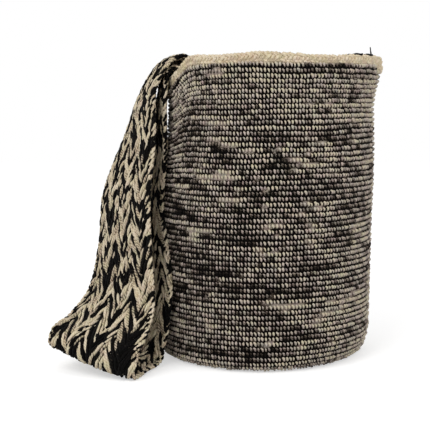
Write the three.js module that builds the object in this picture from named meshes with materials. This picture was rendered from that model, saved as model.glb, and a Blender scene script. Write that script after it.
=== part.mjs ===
// A crocheted mochila standing on its round base: a bucket-shaped body worked in one spiral, a soft
// edging round its mouth, and one wide woven strap whose loop has flopped over the rim to the floor.
// Millimetres and degrees, +Z up. The origin is the middle of the base, on the floor.
// Azimuth 0 is +X (the right of the front view) and azimuth -90 is the front.
import * as THREE from 'three';
import { mergeVertices } from 'three/addons/utils/BufferGeometryUtils.js';

// Body
const bodyHeight = 274;
const baseRadius = 102.8;
const bellyRadius = 104.2;
const bellyHeight = 140;
const neckRadius = 98.4;
const neckHeight = 262;
const bendRadius = 9.5;
const startDiscRadius = 12;
const wallThickness = 4.5;
const courseHeight = 4.87;
const courseRelief = 0.9;
const facetsAround = 24;

// How the soft body has settled
const leanOffset = 5.6;
const leanFrom = 120;
const leanTo = 235;
const droopDepth = 20;
const droopAzimuth = 168;
const droopSpread = 42;
const droopFrom = 150;
const flareDepth = 7.5;
const flareAzimuth = -15;
const flareSpread = 45;
const flareFrom = 235;
const flareTo = 280;
const tuckDepth = 9;
const tuckAzimuth = -40;
const tuckSpread = 45;
const tuckHeight = 28;

// Edging round the mouth
const edgingWidth = 9;
const edgingHeight = 12;
const edgingOverhang = 1.5;
// Where its uneven crochet stands high or low, as azimuth, spread and height
const edgingSwells = [
  [-97, 12, 1.5],
  [-63, 13, -1.6],
  [-5, 16, -2],
  [58, 14, 1.3],
  [105, 16, -1.2],
];
const edgingLevel = 0.2;
const edgingHighest = 1.7;

// Strap
const strapWidth = 90;
const strapThickness = 5.5;
const strapRows = 96;
const strapLanes = 7;
const strapWeaveRelief = 0.9;
const strapEdgeThinning = 0.3;

// Sewing thread
const threadDiameter = 2.2;
const threadTail = 9;
const threadSides = 4;

// Room between pieces that touch
const seat = 0.3;
const softSeat = 1;

const radians = THREE.MathUtils.degToRad;
const { lerp, smoothstep } = THREE.MathUtils;

// The turn from one azimuth to another, from -180 to 180
function turnBetween(from, to) {
  return THREE.MathUtils.euclideanModulo(to - from + 180, 360) - 180;
}

function swell(azimuth, middle, spread) {
  return Math.exp(-((turnBetween(middle, azimuth) / spread) ** 2));
}

// Outside radius of the body above its bend, before it settled
function wallRadius(height) {
  const lower = lerp(baseRadius, bellyRadius, smoothstep(height, bendRadius, bellyHeight));
  return lerp(lower, neckRadius, smoothstep(height, bellyHeight, neckHeight));
}

function leanAt(height) {
  return leanOffset * smoothstep(height, leanFrom, leanTo);
}

function flareAt(azimuth, height) {
  return flareDepth * swell(azimuth, flareAzimuth, flareSpread) * smoothstep(height, flareFrom, flareTo);
}

function droopAt(azimuth, height) {
  const flatBottomed = Math.exp(-((turnBetween(droopAzimuth, azimuth) / droopSpread) ** 6));
  return droopDepth * flatBottomed * smoothstep(height, droopFrom, bodyHeight);
}

function tuckAt(azimuth, height) {
  return tuckDepth * swell(azimuth, tuckAzimuth, tuckSpread) * (1 - smoothstep(height, 0, tuckHeight));
}

// Moves a point of the round, upright form to where the soft body carries it
function settle(point) {
  const azimuth = THREE.MathUtils.radToDeg(Math.atan2(point.y, point.x));
  const radius = Math.hypot(point.x, point.y);
  const change = flareAt(azimuth, point.z) - tuckAt(azimuth, point.z);
  const growth = 1 + change / wallRadius(point.z);
  const height = point.z - droopAt(azimuth, point.z) * Math.min(1, radius / neckRadius);
  return point.set(leanAt(point.z) + point.x * growth, point.y * growth, height);
}

function reshape(geometry, move) {
  const position = geometry.getAttribute('position');
  const point = new THREE.Vector3();
  for (let i = 0; i < position.count; i += 1) {
    move(point.fromBufferAttribute(position, i));
    position.setXYZ(i, point.x, point.y, point.z);
  }
  return geometry;
}

// Keeps shared corners only, so that each piece is one closed skin
function weld(geometry) {
  geometry.deleteAttribute('normal');
  geometry.deleteAttribute('uv');
  const welded = mergeVertices(geometry, 0.0001);
  welded.computeVertexNormals();
  return welded;
}

function revolve(profile, facets) {
  return new THREE.LatheGeometry(profile, facets).rotateX(Math.PI / 2);
}

function addPiece(group, name, geometry, color, roughness) {
  const material = new THREE.MeshStandardMaterial({ color, roughness, metalness: 0 });
  const mesh = new THREE.Mesh(weld(geometry), material);
  mesh.name = name;
  group.add(mesh);
}

// One point of the body's outside, at a distance along it from the edge of the start disc:
// along the base, round the bend and up the wall, with the way out of the cloth
function outsidePoint(distance) {
  const flat = baseRadius - bendRadius - startDiscRadius;
  const bend = bendRadius * Math.PI / 2;
  if (distance <= flat) {
    return { point: new THREE.Vector2(startDiscRadius + distance, 0), out: new THREE.Vector2(0, -1) };
  }
  if (distance <= flat + bend) {
    const turned = (distance - flat) / bendRadius;
    const out = new THREE.Vector2(Math.sin(turned), -Math.cos(turned));
    const middle = new THREE.Vector2(baseRadius - bendRadius, bendRadius);
    return { point: middle.addScaledVector(out, bendRadius), out };
  }
  const height = Math.min(bodyHeight, bendRadius + distance - flat - bend);
  return { point: new THREE.Vector2(wallRadius(height), height), out: new THREE.Vector2(1, 0) };
}

// The body: courses as crests and grooves outside, a plain face inside
function bodyGeometry() {
  const wallStart = baseRadius - bendRadius - startDiscRadius;
  const length = wallStart + bendRadius * Math.PI / 2 + bodyHeight - bendRadius;
  const courses = Math.round(length / courseHeight);
  const profile = [new THREE.Vector2(0, 0)];
  for (let i = 0; i <= 2 * courses; i += 1) {
    const { point, out } = outsidePoint(length * i / (2 * courses));
    profile.push(point.addScaledVector(out, i % 2 === 0 ? 0 : -courseRelief));
  }
  const insideSteps = 8;
  const closerAtBend = 1.6;
  for (let i = insideSteps; i >= 0; i -= 1) {
    const { point, out } = outsidePoint(lerp(wallStart, length, (i / insideSteps) ** closerAtBend));
    profile.push(point.addScaledVector(out, -wallThickness));
  }
  profile.push(new THREE.Vector2(0, wallThickness));
  return reshape(revolve(profile, facetsAround), settle);
}

// Height that the edging's uneven crochet adds at an azimuth
function edgingRise(azimuth) {
  let rise = edgingLevel;
  edgingSwells.forEach(([middle, spread, height]) => {
    rise += height * swell(azimuth, middle, spread);
  });
  return rise;
}

// The edging's section as an angle turns: 0 points out of the bag and 90 points up
function edgingSection(turned, offset) {
  const middle = neckRadius + edgingOverhang - edgingWidth / 2;
  const across = Math.cos(radians(turned));
  const up = Math.sin(radians(turned));
  const bottom = bodyHeight + seat;
  return new THREE.Vector2(
    middle + (edgingWidth / 2 + offset) * Math.sign(across) * Math.abs(across) ** 0.8,
    Math.max(bottom, bottom + edgingHeight / 2 + (edgingHeight / 2 + offset) * up),
  );
}

function settleEdging(point) {
  const share = (point.z - bodyHeight - seat) / edgingHeight;
  const azimuth = THREE.MathUtils.radToDeg(Math.atan2(point.y, point.x));
  point.z += share * edgingRise(azimuth);
  return settle(point);
}

function edgingGeometry() {
  const profile = [];
  const corners = 8;
  for (let i = 0; i <= corners; i += 1) {
    profile.push(edgingSection(-67.5 + (i % corners) * 360 / corners, 0));
  }
  return reshape(revolve(profile, facetsAround), settleEdging);
}

// Heights and distances from the wall that the strap lies at, to its middle layer
const halfStrap = strapThickness / 2;
const onFloor = halfStrap + seat;
const rimTop = bodyHeight + seat + edgingHeight;
const facetSag = neckRadius * (1 - Math.cos(Math.PI / facetsAround));
const overRim = rimTop - 0.93 * droopDepth + edgingHighest + 2.4 * softSeat + halfStrap;
const outsideRim = edgingOverhang + softSeat + halfStrap;
const insideRim = -(edgingWidth - edgingOverhang + 1.3 * softSeat + halfStrap);
const insideWall = -(wallThickness + facetSag + 1.3 * softSeat + halfStrap);

// A station of the strap's route. The middle of the band lies at a distance out from the wall, at an
// azimuth and a height. The heading is the level direction, across the band, to its edge nearer the
// front, and the tilt lifts that edge. The band's edges lie back from its middle by the bow.
function station(azimuth, out, height, heading, tilt, bow, bowAzimuth = azimuth) {
  const radius = wallRadius(height) + flareAt(azimuth, height) + out;
  const bowed = new THREE.Vector3(Math.cos(radians(bowAzimuth)), Math.sin(radians(bowAzimuth)), 0);
  bowed.multiplyScalar(bow);
  const middle = new THREE.Vector3(
    leanAt(height) + radius * Math.cos(radians(azimuth)),
    radius * Math.sin(radians(azimuth)),
    height,
  );
  const across = new THREE.Vector3(
    Math.cos(radians(heading)) * Math.cos(radians(tilt)),
    Math.sin(radians(heading)) * Math.cos(radians(tilt)),
    Math.sin(radians(tilt)),
  );
  return { middle: middle.sub(bowed), across, bowed };
}

// The left end sewn inside the wall, over the drooping rim and down the outside
const downOutside = [
  station(168, insideWall, rimTop - 58, -103, 0, 12),
  station(168, insideRim, rimTop - 38, -103, 0, 12),
  station(168, insideRim, overRim - 10, -103, 0, 12),
  station(168, insideRim + 2, overRim - 3, -103, 0, 12),
  station(169, -3, overRim, -102, 0, 11),
  station(171, outsideRim + 0.6, overRim - 8, -98, 0, 9),
  station(175, outsideRim + 5, rimTop - 43, -86, 0, 5),
  station(178.5, outsideRim + 6, rimTop - 96, -73, 0, 2),
  station(180, outsideRim + 7, bellyHeight, -67, 0, 1, 190),
  station(191, outsideRim + 7, 76, -60, 0, 1, 195),
  station(195, outsideRim + 13, 50, -55, -1, 1, 200),
  station(196.5, outsideRim + 20, 30, -50, -4, 1, 200),
];

// The fold that stands on the floor, its far end a little raised
const foot = [
  station(199.5, 38, onFloor + 11.4, -47, -8, 3, 215),
  station(208, 68, onFloor + 10.9, -34, -13, 6, 215),
  station(214, 95, onFloor + 12.7, -28, -15, 8, 215),
  station(213.3, 92, onFloor + 26, -27, -12, 8, 215),
  station(209.2, 68, 43, -33, -4, 4, 215),
];

// Back up outside the first run, arching over the rim
const upOutside = [
  station(204.2, 48.5, 65, -45, -1, 2, 215),
  station(198.8, 40, 108, -54, 0, 3, 205),
  station(193.6, 36.5, rimTop - 131, -58, -1, 3, 205),
  station(186.3, 30.5, rimTop - 81, -68, 0, 4, 195),
  station(178.6, 27.5, rimTop - 43, -79, 0, 6, 185),
  station(175.7, 18.3, rimTop - 20, -88, 0, 10, 172),
  station(171.5, 7.5, rimTop - 7, -95, 0, 11, 169),
  station(167.3, -9, rimTop - 1, -102, 0, 11),
  station(164.6, -24.7, rimTop - 6, -104, 0, 9),
  station(163.2, -40, rimTop - 24, -104, 0, 6),
];

// Sagging across the mouth, then up beside the right wall and down to the end sewn inside it
const throughMouth = [
  station(167, -neckRadius * 0.63, rimTop - 56, -106, 0, 2),
  station(170, -neckRadius * 0.9, rimTop - 80, -109, 0, 0),
  station(-33, -neckRadius * 0.77, rimTop - 82, -112, 0, 1),
  station(-28, -neckRadius * 0.46, rimTop - 64, -114, 0, 4),
  station(-25, insideRim - 18, rimTop - 38, -115, 0, 8),
  station(-25, insideRim - 15.5, rimTop - 22, -115, 0, 10),
  station(-25, insideRim - 8.5, rimTop - 14.5, -115, 0, 11),
  station(-25, insideRim - 1.5, rimTop - 22, -115, 0, 11),
  station(-25, insideWall, rimTop - 54, -115, 0, 11),
];

const route = [...downOutside, ...foot, ...upOutside, ...throughMouth];
const routeMiddle = new THREE.CatmullRomCurve3(route.map((place) => place.middle));
const routeAcross = new THREE.CatmullRomCurve3(route.map((place) => place.across), false, 'catmullrom');
const routeBow = new THREE.CatmullRomCurve3(route.map((place) => place.bowed), false, 'catmullrom');
routeMiddle.arcLengthDivisions = 800;

// A point of the band: its share of the length, from -1 to 1 across it, and above its middle layer
function strapPoint(share, side, above) {
  const at = routeMiddle.getUtoTmapping(share);
  const along = routeMiddle.getTangent(at);
  const across = routeAcross.getPoint(at);
  across.addScaledVector(along, -0.5 * across.dot(along)).normalize();
  const bow = routeBow.getPoint(at);
  const slope = across.clone().multiplyScalar(strapWidth / 2).addScaledVector(bow, -2 * side);
  const face = slope.cross(along).normalize();
  return routeMiddle.getPoint(at)
    .addScaledVector(across, side * strapWidth / 2)
    .addScaledVector(bow, 1 - side * side)
    .addScaledVector(face, above);
}

// Two triangles between corners in two rows, split along one diagonal or the other
function splitQuad(indices, near, nearNext, far, farNext, rising) {
  if (rising) indices.push(near, nearNext, farNext, near, farNext, far);
  else indices.push(near, nearNext, far, nearNext, farNext, far);
}

// The strap, woven in chevrons: on both faces the strands lean one way in one lane across the band and
// the other way in the next, as slanting ridges and valleys
function strapGeometry() {
  const lanes = strapLanes;
  const around = 2 * (lanes + 1);
  const corners = [];
  for (let row = 0; row <= strapRows; row += 1) {
    for (let i = 0; i < around; i += 1) {
      const face = i <= lanes ? 1 : -1;
      const column = i <= lanes ? i : around - 1 - i;
      const side = 2 * column / lanes - 1;
      const ridge = (row + column) % 2 === 0 || row === 0 || row === strapRows;
      const above = (halfStrap - (ridge ? 0 : strapWeaveRelief)) * (1 - strapEdgeThinning * side ** 4);
      corners.push(strapPoint(row / strapRows, side, face * above));
    }
  }
  const indices = [];
  for (let row = 0; row < strapRows; row += 1) {
    for (let i = 0; i < around; i += 1) {
      const near = row * around + i;
      const nearNext = row * around + (i + 1) % around;
      splitQuad(indices, near, nearNext, near + around, nearNext + around, i % 2 === 0);
    }
  }
  for (let i = 0; i < lanes; i += 1) {
    const [left, right, below, belowRight] = [i, i + 1, around - 1 - i, around - 2 - i];
    const end = strapRows * around;
    indices.push(left, below, right, right, below, belowRight);
    indices.push(end + left, end + right, end + below, end + right, end + belowRight, end + below);
  }
  const geometry = new THREE.BufferGeometry().setFromPoints(corners);
  return geometry.setIndex(indices);
}

function threadGeometry(points, steps) {
  const outline = new THREE.Shape();
  for (let i = 0; i < threadSides; i += 1) {
    const turned = i * 2 * Math.PI / threadSides;
    const corner = [Math.cos(turned) * threadDiameter / 2, Math.sin(turned) * threadDiameter / 2];
    if (i === 0) outline.moveTo(...corner);
    else outline.lineTo(...corner);
  }
  const extrudePath = new THREE.CatmullRomCurve3(points);
  return new THREE.ExtrudeGeometry(outline, { steps, bevelEnabled: false, extrudePath });
}

// Thread whipped over the edging where the right end of the strap is sewn in, with its loose tail
function rimStitchPoints() {
  const stitches = 2;
  const firstAzimuth = -28;
  const pitch = 10;
  const reachInside = 62;
  const reachOutside = 25;
  const places = 12;
  const points = [];
  for (let i = 0; i <= stitches * places; i += 1) {
    const swing = Math.sin(2 * Math.PI * i / places);
    const turned = 90 - swing * (swing > 0 ? reachOutside : reachInside);
    const azimuth = radians(firstAzimuth - pitch * i / places);
    const { x: radius, y: height } = edgingSection(turned, 2 * seat + threadDiameter / 2);
    const point = new THREE.Vector3(radius * Math.cos(azimuth), radius * Math.sin(azimuth), height);
    points.push(settleEdging(point));
  }
  const tip = points[0].clone();
  tip.z += threadTail;
  tip.x -= threadDiameter / 2;
  return [tip, ...points];
}

// Thread zigzagging over the face of a sewn end of the strap, a little in from its cut
function endStitchPoints(shareFrom, shareTo, faceSign) {
  const stitches = 7;
  const points = [];
  for (let i = 0; i <= stitches; i += 1) {
    const side = lerp(-0.8, 0.8, i / stitches);
    const share = i % 2 === 0 ? shareFrom : shareTo;
    points.push(strapPoint(share, side, faceSign * (halfStrap + 2 * seat + threadDiameter / 2)));
  }
  return points;
}

const group = new THREE.Group();
addPiece(group, 'bag_body', bodyGeometry(), '#59524a', 0.95);
addPiece(group, 'mouth_edging', edgingGeometry(), '#c5b49a', 0.95);
addPiece(group, 'strap', strapGeometry(), '#5a5247', 0.95);
addPiece(group, 'rim_stitches', threadGeometry(rimStitchPoints(), 40), '#141010', 0.9);
addPiece(group, 'left_end_stitches', threadGeometry(endStitchPoints(0.006, 0.018, -1), 36), '#141010', 0.9);
addPiece(group, 'right_end_stitches', threadGeometry(endStitchPoints(0.994, 0.982, -1), 36), '#141010', 0.9);

export default group;
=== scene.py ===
"""Dresses a crocheted mochila: a marled yarn body, an ecru edging and a black and ecru woven strap.

Every stitch of the body and every strand of the strap is a length of yarn laid along its own short
path, on the same forms as the solids. Metres, +Z up, the front of the bag towards -Y.
"""
import math
from bisect import bisect_right

import bmesh
import bpy
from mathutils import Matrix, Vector


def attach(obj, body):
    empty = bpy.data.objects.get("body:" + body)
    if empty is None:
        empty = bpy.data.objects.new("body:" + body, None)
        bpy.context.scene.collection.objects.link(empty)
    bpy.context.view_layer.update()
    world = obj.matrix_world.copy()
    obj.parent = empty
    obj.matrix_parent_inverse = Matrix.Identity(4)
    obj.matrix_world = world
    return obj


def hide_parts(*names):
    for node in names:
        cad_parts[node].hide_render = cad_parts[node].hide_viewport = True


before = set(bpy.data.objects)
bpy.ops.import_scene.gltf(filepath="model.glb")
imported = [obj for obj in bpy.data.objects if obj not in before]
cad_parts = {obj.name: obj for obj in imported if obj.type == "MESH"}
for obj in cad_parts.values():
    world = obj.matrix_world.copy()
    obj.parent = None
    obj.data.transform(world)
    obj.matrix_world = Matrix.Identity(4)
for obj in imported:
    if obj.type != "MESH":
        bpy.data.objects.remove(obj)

bl_info = {
    "name": "Crocheted mochila",
    "version": (1, 0, 0),
    "blender": (4, 5, 0),
    "location": "3D View > Sidebar > Mochila",
    "description": "Makes the yarn, stitches and strap of a crocheted mochila",
    "category": "Object",
}

MM = 0.001

# Body, as the solids have it
BODY_HEIGHT = 274 * MM
BASE_RADIUS = 102.8 * MM
BELLY_RADIUS = 104.2 * MM
BELLY_HEIGHT = 140 * MM
NECK_RADIUS = 98.4 * MM
NECK_HEIGHT = 262 * MM
BEND_RADIUS = 9.5 * MM
WALL_THICKNESS = 4.5 * MM
COURSE_HEIGHT = 4.87 * MM

# How the soft body has settled, as the solids have it
LEAN_OFFSET = 5.6 * MM
LEAN_HEIGHTS = (120 * MM, 235 * MM)
DROOP_DEPTH = 20 * MM
DROOP_AZIMUTH = 168
DROOP_SPREAD = 42
DROOP_FROM = 150 * MM
FLARE_DEPTH = 7.5 * MM
FLARE_AZIMUTH = -15
FLARE_SPREAD = 45
FLARE_HEIGHTS = (235 * MM, 280 * MM)
TUCK_DEPTH = 9 * MM
TUCK_AZIMUTH = -40
TUCK_SPREAD = 45
TUCK_HEIGHT = 28 * MM

# Edging, as the solids have it
EDGING_WIDTH = 9 * MM
EDGING_HEIGHT = 12 * MM
EDGING_OVERHANG = 1.5 * MM
# Where its uneven crochet stands high or low, as azimuth, spread and height. The solids lack the last
EDGING_SWELLS = (
    (-97, 12, 1.5 * MM),
    (-63, 13, -1.6 * MM),
    (-5, 16, -2 * MM),
    (58, 14, 1.3 * MM),
    (105, 16, -1.2 * MM),
    (-125, 14, -1.3 * MM),
)
EDGING_LEVEL = 0.2 * MM
EDGING_HIGHEST = 1.7 * MM

# At the right the edging's foot hangs lower and stands further out. Each place is an azimuth and a spread
EDGING_DROP = 5 * MM
EDGING_DROP_AT = (-4, 15)
EDGING_SPLAY = 2.2 * MM
EDGING_SPLAY_AT = (-4, 18)

# Strap, as the solids have it
STRAP_WIDTH = 90 * MM
STRAP_THICKNESS = 5.5 * MM

# Sewing thread: its size in the solids, and the shares of that which its radius and loose end take up
THREAD_DIAMETER = 2.2 * MM
THREAD_TAIL = 9 * MM
THREAD_RADIUS_SHARE = 0.42
THREAD_TAIL_SHARE = 0.8
# The rows of holes that the end stitches use, as shares of the strap's length from its end
END_STITCH_ROWS = (0.006, 0.018)

# Room between pieces, and the facets round the solids
SEAT = 0.3 * MM
SOFT_SEAT = 1 * MM
FACETS_AROUND = 24

# Sides of a strand's section
YARN_SIDES = 5
THREAD_SIDES = 8

# Crochet: one stitch is two legs of yarn wide, and the spiral starts at the back
STITCHES_AROUND = 96
FEWEST_STITCHES = 6
STITCH_WIDTH = 6.4 * MM
SPIRAL_START = 90
COURSE_TURN = 0.06
# A leg from foot to head: how far right, up and out (mm) it is, its thickness and how much lighter it is
# painted: painted shade at the foot, where it sinks into the cloth, and a faint painted highlight at the head
LEG_POINTS = (
    (0.12, -0.37, -2.3, 0.55, -0.4),
    (0.07, -0.12, -0.9, 0.95, -0.1),
    (0.0, 0.14, -0.55, 1.08, 0.09),
    (-0.24, 0.3, -1.6, 0.8, 0.06),
)
LEG_LEANS = (0.6, 1.2)
BASE_LEGS_IN = 0.9 * MM
# How unevenly the legs are worked
LEAN_VARIES = 0.9
HEIGHT_VARIES = 0.3
UP_VARIES = 0.14
OUT_VARIES = 0.9
THICKNESS_VARIES = 0.5
SPACING_VARIES = 0.2
COURSES_WANDER = 0.3

# Depth of the cloth in the gaps: behind the stitches, at the mouth, behind the loops and in the strap
GROUND_DEPTH = 2.1 * MM
MOUTH_GROUND_DEPTH = 1.8 * MM
EDGING_GROUND_DEPTH = 1.6 * MM
STRAP_GROUND_DEPTH = 2.0 * MM

# The last courses lie close, and stand over the edging's foot and lean out, but not at the right. The
# overlap and the lift are in mm, and each change is an azimuth, a spread and a lift
RIGHT_OF_MOUTH = (-6, 26)
OVERLAP = 9.5
OVERLAP_LOST = 11
UNEVEN_TOP = 1.5 * MM
LAST_LIFT = -3.6
LIFT_CHANGES = ((-110, 30, 1.6), (-168, 30, -2.5))
LIFT_REACH = 45 * MM
LEAN_OUT = 2.8 * MM
LEAN_OUT_BEFORE = 13 * MM
LEAN_OUT_AFTER = 4 * MM

# Marled yarn: the lengths of its runs in stitches, and how far each kind of change moves its tone
SHORT_RUN = 1.3
LONG_RUN = 5
ECRU_RUN = 1.8
MIDDLE_TONE = 0.6
SHORT_CHANGE = 0.42
LONG_CHANGE = 0.36
PATCH_CHANGE = 0.34
LEG_CHANGE = 0.34
BARE_FROM = 0.84
BARE_WHOLE = 1.02
# It is lighter towards the mouth and the base, and has painted shade behind the strap, where the strap shades
# the body
TOP_LIGHTER = 0.12
TOP_HEIGHTS = (180 * MM, 250 * MM)
FOOT_LIGHTER = 0.08
FOOT_HEIGHTS = (40 * MM, 110 * MM)
PAINTED_STRAP_SHADE = 0.12
PAINTED_STRAP_SHADE_AT = (195, 32)

# Weave of the strap: zigzag lanes of slanting strands, with a few strands that float over them
STRAP_LANES = 21
HALF_ZIGZAG = 3
LANE_LEAN = 10.5 * MM
STRAND_SPACING = 7.4 * MM
STRAND_DEPTH = 1.3 * MM
STRAND_ON_FLOOR = 1.45 * MM
FURTHEST_SIDE = 0.985
FLOATING_STRANDS = 120
FLOAT_SIDE = 0.24
# Points of a strand: the share of its way, its height in mm and its thickness
WOVEN_STRAND = ((-0.2, -1.2, 0.5), (0.15, 0.0, 0.95), (0.5, 0.3, 1.1), (0.85, 0.0, 0.95), (1.2, -1.2, 0.5))
FLOATING_STRAND = (
    (-0.05, -0.9, 0.5), (0.12, 0.5, 0.9), (0.5, 0.75, 1.0), (0.88, 0.5, 0.9), (1.05, -0.9, 0.5))
# A turn of yarn round the strap's edge: mm along, share of the half width, mm above and thickness
EDGE_SPACING = 5.2 * MM
EDGE_TURN = (
    (0.0, 0.93, 1.5, 0.6),
    (1.8, 0.985, 0.9, 1.0),
    (4.2, 1.0, 0.0, 1.05),
    (6.6, 0.985, -0.9, 1.0),
    (8.4, 0.93, -1.5, 0.6),
)
# Order of ecru strands along a lane, and the steps where the strap is darker or lighter, with their spread
ECRU_ORDER = (0, 1, 1, 0, 1, 0, 0)
ECRU_FROM = 0.23
SHADED_STEPS = ((84, 7, -0.1), (96, 3, 0.16), (43, 4, 0.16))

# The photograph's view
CAMERA_PLACE = (-48 * MM, -1026 * MM, 247 * MM)
CAMERA_PITCH = 6.35
FOCAL_PIXELS = 1052
FRAME_PIXELS = 430
SENSOR_WIDTH = 36.0

# Yarn and thread colours, as sRGB hex
ECRU_LIGHT = "#e8dabf"
ECRU = "#c8b89c"
ECRU_SHADE = "#8a7d6a"
BARE_ECRU = "#d2c7ae"
GREY_ECRU = "#c9bdb0"
GREY_MARL = "#a3968c"
MARL_MID = "#4f463c"
BLACK_BROWN = "#1a1410"
BLACK_SHEEN = "#0d0b0a"
BLACK_YARN = "#060504"
EDGING_SHADE = "#a8987f"
EDGING_MIDDLE = "#c9b99d"
EDGING_ECRU = "#decdb0"
EDGING_LIGHT = "#ebddc4"
THREAD_BLACK = "#0a0808"
THREAD_LIGHT = "#1d1a19"
TINT_STRENGTH = 0.12
TINT_SIZE = 7 * MM

# Stage
PAPER = "#e6e6e6"
WHITE = (1.0, 1.0, 1.0, 1.0)
LIT_POINT = (0, 0, 0.14)
KEY_LAMP_PLACE = (-0.9, -1.3, 1.6)
KEY_LAMP_SIZE = 1.2
SIDE_LAMP_PLACE = (1.3, -0.9, 1.0)
SIDE_LAMP_SIZE = 1.0
SIDE_LAMP_SHARE = 0.35


# Plain numbers and curves

def lerp(low, high, share):
    return low + (high - low) * share


def eased(share):
    return share * share * (3 - 2 * share)


def smoothstep(value, low, high):
    return eased(min(1.0, max(0.0, (value - low) / (high - low))))


def turn_between(start, end):
    return (end - start + 180) % 360 - 180


def swell(azimuth, middle, spread):
    return math.exp(-((turn_between(middle, azimuth) / spread) ** 2))


def scattered(*keys):
    """A fixed number from 0 to 1 for a set of keys. The last key tells one use from another."""
    weights = (12.9898, 78.233, 37.719, 4.581)
    value = math.sin(sum(key * weight for key, weight in zip(keys, weights))) * 43758.5453
    return value - math.floor(value)


def uneven(*keys):
    """A fixed number from -0.5 to 0.5 for a set of keys."""
    return scattered(*keys) - 0.5


def run_of_yarn(place, seed):
    """Smooth value from 0 to 1 along a length of yarn, for where it changes colour."""
    whole = math.floor(place)
    return lerp(scattered(whole, seed), scattered(whole + 1, seed), eased(place - whole))


def patch_of_yarn(across, along, seed):
    """Smooth value from -0.5 to 0.5 over a cloth, for its lighter and darker patches."""
    seeds_a_row = 13
    row = math.floor(along)
    here = run_of_yarn(across, seed + seeds_a_row * row)
    return lerp(here, run_of_yarn(across, seed + seeds_a_row * (row + 1)), eased(along - row)) - 0.5


# The body's form

def wall_radius(height):
    lower = lerp(BASE_RADIUS, BELLY_RADIUS, smoothstep(height, BEND_RADIUS, BELLY_HEIGHT))
    return lerp(lower, NECK_RADIUS, smoothstep(height, BELLY_HEIGHT, NECK_HEIGHT))


def lean_at(height):
    return LEAN_OFFSET * smoothstep(height, *LEAN_HEIGHTS)


def flare_at(azimuth, height):
    return FLARE_DEPTH * swell(azimuth, FLARE_AZIMUTH, FLARE_SPREAD) * smoothstep(height, *FLARE_HEIGHTS)


def droop_at(azimuth, height):
    flat_bottomed = math.exp(-((turn_between(DROOP_AZIMUTH, azimuth) / DROOP_SPREAD) ** 6))
    return DROOP_DEPTH * flat_bottomed * smoothstep(height, DROOP_FROM, BODY_HEIGHT)


def tuck_at(azimuth, height):
    tuck = TUCK_DEPTH * swell(azimuth, TUCK_AZIMUTH, TUCK_SPREAD)
    return tuck * (1 - smoothstep(height, 0, TUCK_HEIGHT))


def settle(radius, azimuth, height):
    """Where the soft body carries a point of its round, upright form. The azimuth is in degrees."""
    turned = math.radians(azimuth)
    change = flare_at(azimuth, height) - tuck_at(azimuth, height)
    growth = 1 + change / wall_radius(height)
    return Vector((
        lean_at(height) + radius * math.cos(turned) * growth,
        radius * math.sin(turned) * growth,
        height - droop_at(azimuth, height) * min(1.0, radius / NECK_RADIUS),
    ))


FLAT_LENGTH = BASE_RADIUS - BEND_RADIUS
BEND_LENGTH = BEND_RADIUS * math.pi / 2
WALL_LENGTH = BODY_HEIGHT - BEND_RADIUS
CLOTH_LENGTH = FLAT_LENGTH + BEND_LENGTH + WALL_LENGTH


def cloth_section(distance, out):
    """Radius and height at a distance along the cloth from the base's middle, and out from its face."""
    if distance <= FLAT_LENGTH:
        return distance, -out
    if distance <= FLAT_LENGTH + BEND_LENGTH:
        turned = (distance - FLAT_LENGTH) / BEND_RADIUS
        reach = BEND_RADIUS + out
        return FLAT_LENGTH + reach * math.sin(turned), BEND_RADIUS - reach * math.cos(turned)
    height = BEND_RADIUS + distance - FLAT_LENGTH - BEND_LENGTH
    return wall_radius(height) + out, height


def cloth_point(distance, azimuth, out):
    radius, height = cloth_section(distance, out)
    return settle(radius, azimuth, height)


# The strap's form

def vector_at(points, at, centripetal):
    """A point of a Catmull-Rom curve through the points, at a share of their number."""
    place = at * (len(points) - 1)
    index = min(int(place), len(points) - 2)
    share = place - index
    second = points[index]
    third = points[index + 1]
    first = points[index - 1] if index > 0 else second * 2 - third
    fourth = points[index + 2] if index + 2 < len(points) else third * 2 - second
    if centripetal:
        near, here, far = (
            max(1e-9, (b - a).length ** 0.5)
            for a, b in ((first, second), (second, third), (third, fourth)))
        leave = (second - first) / near - (third - first) / (near + here) + (third - second) / here
        arrive = (third - second) / here - (fourth - second) / (here + far) + (fourth - third) / far
        leave = leave * here
        arrive = arrive * here
    else:
        leave = (third - first) * 0.5
        arrive = (fourth - second) * 0.5
    square = share * share
    cube = square * share
    return (second * (2 * cube - 3 * square + 1) + leave * (cube - 2 * square + share)
            + third * (3 * square - 2 * cube) + arrive * (cube - square))


HALF_STRAP = STRAP_THICKNESS / 2
ON_FLOOR = HALF_STRAP + SEAT
RIM_TOP = BODY_HEIGHT + SEAT + EDGING_HEIGHT
FACET_SAG = NECK_RADIUS * (1 - math.cos(math.pi / FACETS_AROUND))
OVER_RIM = RIM_TOP - 0.93 * DROOP_DEPTH + EDGING_HIGHEST + 2.4 * SOFT_SEAT + HALF_STRAP
OUTSIDE_RIM = EDGING_OVERHANG + SOFT_SEAT + HALF_STRAP
INSIDE_RIM = -(EDGING_WIDTH - EDGING_OVERHANG + 1.3 * SOFT_SEAT + HALF_STRAP)
INSIDE_WALL = -(WALL_THICKNESS + FACET_SAG + 1.3 * SOFT_SEAT + HALF_STRAP)


def station(azimuth, out, height, heading, tilt, bow, bow_azimuth=None):
    """One place on the strap's route: its middle, the way across it and how far the middle bows out."""
    bow_turned = math.radians(azimuth if bow_azimuth is None else bow_azimuth)
    turned = math.radians(azimuth)
    radius = wall_radius(height) + flare_at(azimuth, height) + out
    bowed = Vector((math.cos(bow_turned), math.sin(bow_turned), 0)) * bow * MM
    middle = Vector((lean_at(height) + radius * math.cos(turned), radius * math.sin(turned), height))
    level = math.cos(math.radians(tilt))
    across = Vector((
        math.cos(math.radians(heading)) * level,
        math.sin(math.radians(heading)) * level,
        math.sin(math.radians(tilt)),
    ))
    return middle - bowed, across, bowed


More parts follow.
